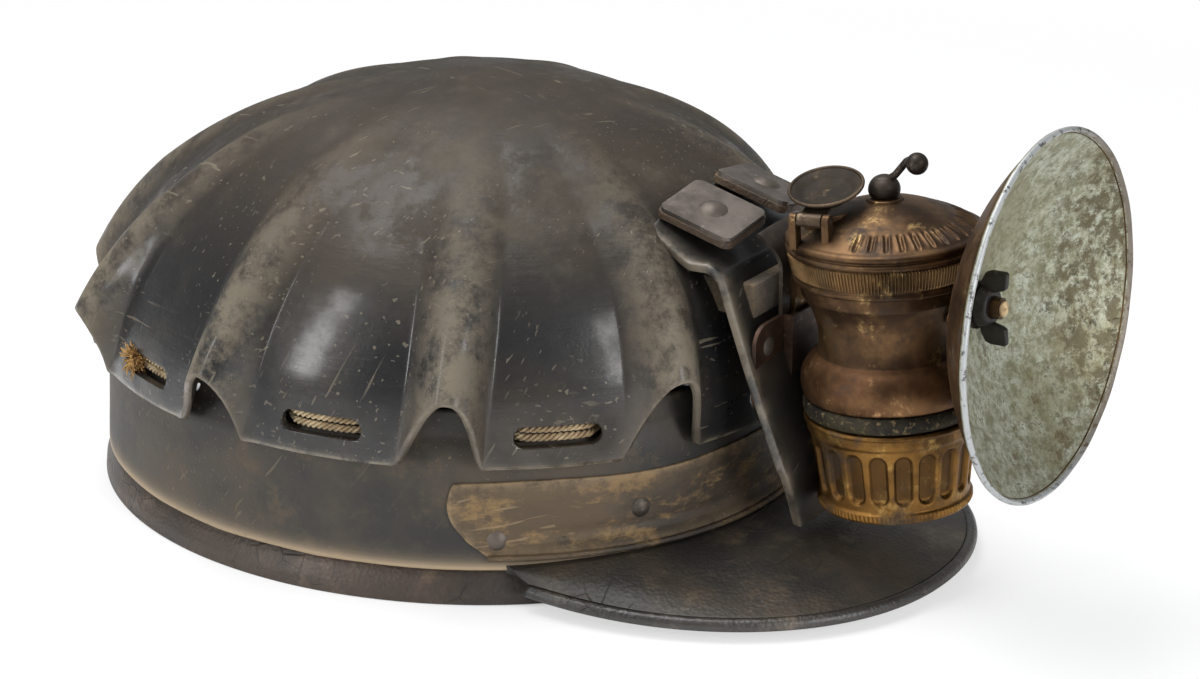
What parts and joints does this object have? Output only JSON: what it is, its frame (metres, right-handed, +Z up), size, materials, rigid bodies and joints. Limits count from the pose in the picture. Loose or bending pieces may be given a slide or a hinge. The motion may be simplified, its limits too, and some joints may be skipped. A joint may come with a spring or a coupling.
{
  "type": "miner helmet",
  "caption": "Fluted fibre crown laced to a leather-lined band, with a visor and a strap-held carbide cap lamp with reflector.",
  "frame": {"origin": "centre of the head opening, on the surface that the helmet rests on", "axes": "+Z up out of the crown, -Y forward along the visor and the lamp, +X the wearer's left"},
  "size_m": [0.2138, 0.3196, 0.1417],
  "materials": {
    "crown_fibre": "semi-gloss dark vulcanised fibre, scuffed",
    "lacing": "twisted waxed cord",
    "band_fibre": "dark fibre, worn",
    "sweatband_leather": "dark leather",
    "cradle_leather": "brown leather",
    "visor_leather": "dark hardened leather, dusty",
    "strip_leather": "tan-brown worn leather",
    "steel": "oxidised steel",
    "strap_fibre": "black glossy fibre",
    "keeper_metal": "copper-brown oxidised steel",
    "felt": "matted brown felt",
    "cup_brass": "aged golden brass",
    "gasket_rubber": "dull rubber",
    "lamp_brass": "aged bronze-brown brass",
    "lever_steel": "dark oxidised wire",
    "reflector_metal": "tarnished nickel, speckled",
    "nut_black": "black oxide",
    "burner_ceramic": "tan steatite"
  },
  "bodies": {
    "helmet": {"crown_shell": "crown_fibre", "lacing_cord": "lacing", "lacing_knot": "lacing", "cap_band": "band_fibre", "sweatband": "sweatband_leather", "cradle": "cradle_leather", "cradle_drawstring": "lacing", "visor": "visor_leather", "visor_binding": "visor_leather", "visor_strip": "strip_leather", "strip_rivets": "steel", "lamp_strap": "strap_fibre", "strap_pads": "strip_leather", "right_clamp_plate": "steel", "left_clamp_plate": "steel", "plate_rivets": "steel", "holder_strip": "steel", "keeper_plate": "keeper_metal", "keeper_rivets": "steel", "front_felt": "felt"},
    "lamp": {"lamp_tank": "lamp_brass", "tank_lid": "lamp_brass", "door_pin": "steel", "water_tube": "lamp_brass", "filter_felt": "felt", "filter_retainer": "lamp_brass", "burner_seat": "lamp_brass", "reflector": "reflector_metal", "burner_stem": "lamp_brass", "burner_tip": "burner_ceramic", "lamp_hook": "lamp_brass"},
    "door": {"water_door": "lamp_brass"},
    "lever": {"valve_lever": "lever_steel", "valve_rod": "lever_steel"},
    "seal": {"gasket": "gasket_rubber"},
    "cup": {"carbide_cup": "cup_brass"},
    "washer": {"nut_washer": "lever_steel"},
    "nut": {"wing_nut": "nut_black"}
  },
  "joints": [
    {"name": "lamp_lift", "type": "slide", "parent": "helmet", "child": "lamp", "axis": [0, 0, 1], "range_m": [0, 0.04]},
    {"name": "door_hinge", "type": "hinge", "parent": "lamp", "child": "door", "pos_m": [-0.0221, -0.13512, 0.11157], "axis": [0.1219, -0.9896, 0.0761], "range_deg": [-9.5, 92]},
    {"name": "water_valve", "type": "hinge", "parent": "lamp", "child": "lever", "pos_m": [0, -0.14536, 0.11968], "axis": [0, 0.0767, 0.9971], "range_deg": [-70, 70]},
    {"name": "seal_drop", "type": "slide", "parent": "lamp", "child": "seal", "axis": [0, -0.0767, -0.9971], "range_m": [0, 0.0038]},
    {"name": "cup_screw", "type": "hinge", "parent": "seal", "child": "cup", "pos_m": [0, -0.15066, 0.05088], "axis": [0, -0.0767, -0.9971], "range_deg": [0, 900]},
    {"name": "washer_travel", "type": "slide", "parent": "lamp", "child": "washer", "axis": [0, -0.9992, 0.0401], "range_m": [0, 0.00245]},
    {"name": "nut_screw", "type": "hinge", "parent": "washer", "child": "nut", "pos_m": [0, -0.1756, 0.0888], "axis": [0, -0.9992, 0.0401], "range_deg": [0, 1080]}
  ],
  "couplings": [
    {"joint": "seal_drop", "follows": "cup_screw", "m_per_rad": 0.00023873},
    {"joint": "washer_travel", "follows": "nut_screw", "m_per_rad": 0.00012732}
  ]
}
